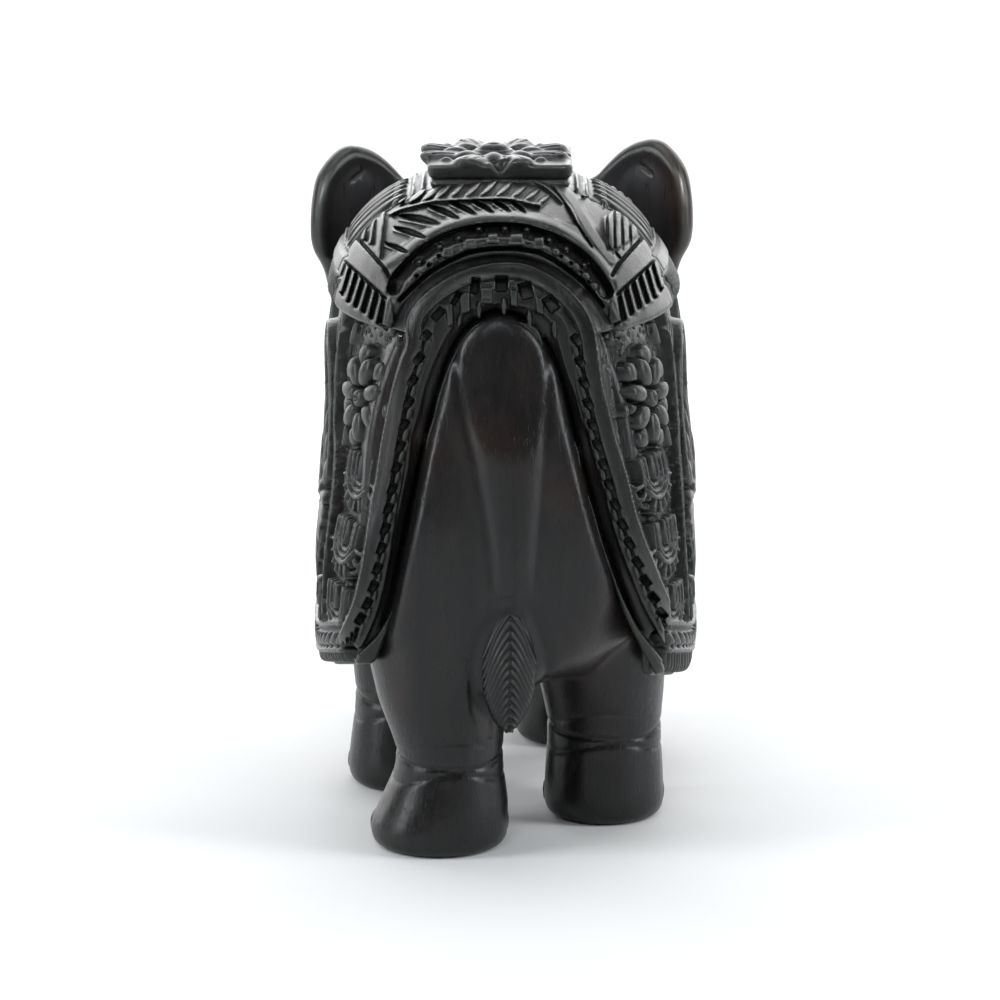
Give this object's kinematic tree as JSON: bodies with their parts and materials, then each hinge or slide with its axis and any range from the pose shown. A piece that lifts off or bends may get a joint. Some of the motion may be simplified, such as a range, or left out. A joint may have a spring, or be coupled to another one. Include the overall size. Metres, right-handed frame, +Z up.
{
  "type": "carved wooden elephant",
  "caption": "Standing elephant carved from one block of dark wood, dressed in a long ornamental blanket and saddle cloth with a flower on the back, with two pegged tusks.",
  "frame": {"origin": "centre of the bounding box in X and Y, on the plane that the four soles stand on", "axes": "+Z up, the elephant looks towards -Y, its left side is +X"},
  "size_m": [0.0758, 0.1246, 0.127],
  "materials": {
    "ebony": "satin, wax polished, brighter on worn edges",
    "boxwood": "polished"
  },
  "bodies": {
    "root": {"carved_body": "ebony", "left_tusk": "boxwood", "right_tusk": "boxwood"}
  },
  "joints": []
}
